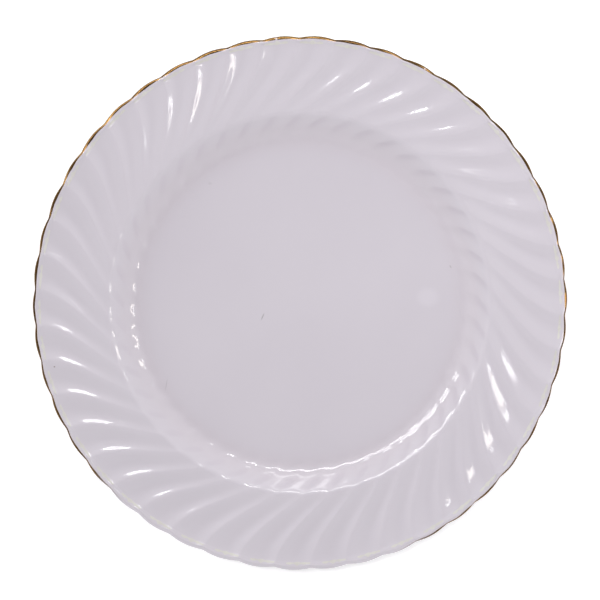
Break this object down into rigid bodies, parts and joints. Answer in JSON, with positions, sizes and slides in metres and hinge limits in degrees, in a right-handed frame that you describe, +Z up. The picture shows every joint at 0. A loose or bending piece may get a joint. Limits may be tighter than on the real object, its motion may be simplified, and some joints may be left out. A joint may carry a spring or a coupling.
{
  "type": "dinner plate",
  "caption": "Round china dinner plate with a flat well, a swirl-fluted rim, a lobed gilt edge and a turned foot ring.",
  "frame": {"origin": "centre of the foot ring, on the surface that the plate stands on", "axes": "+Z up, square to the face of the plate; +X to the right and +Y away, with the plate seen from above"},
  "size_m": [0.27, 0.2696, 0.0197],
  "materials": {
    "china": "fired bone china, under the glaze",
    "bare_foot": "unglazed, polished bearing edge",
    "face_glaze": "clear glossy glaze over lavender-white china",
    "back_glaze": "clear glossy glaze over lavender-white china",
    "foot_well_glaze": "clear glossy glaze over lavender-white china",
    "gilt": "fired burnished gilding, rubbed with use"
  },
  "bodies": {
    "root": {"china_body": "china", "foot_ring": "bare_foot", "face_glaze": "face_glaze", "back_glaze": "back_glaze", "foot_well_glaze": "foot_well_glaze", "gilt_rim_line": "gilt"}
  },
  "joints": []
}
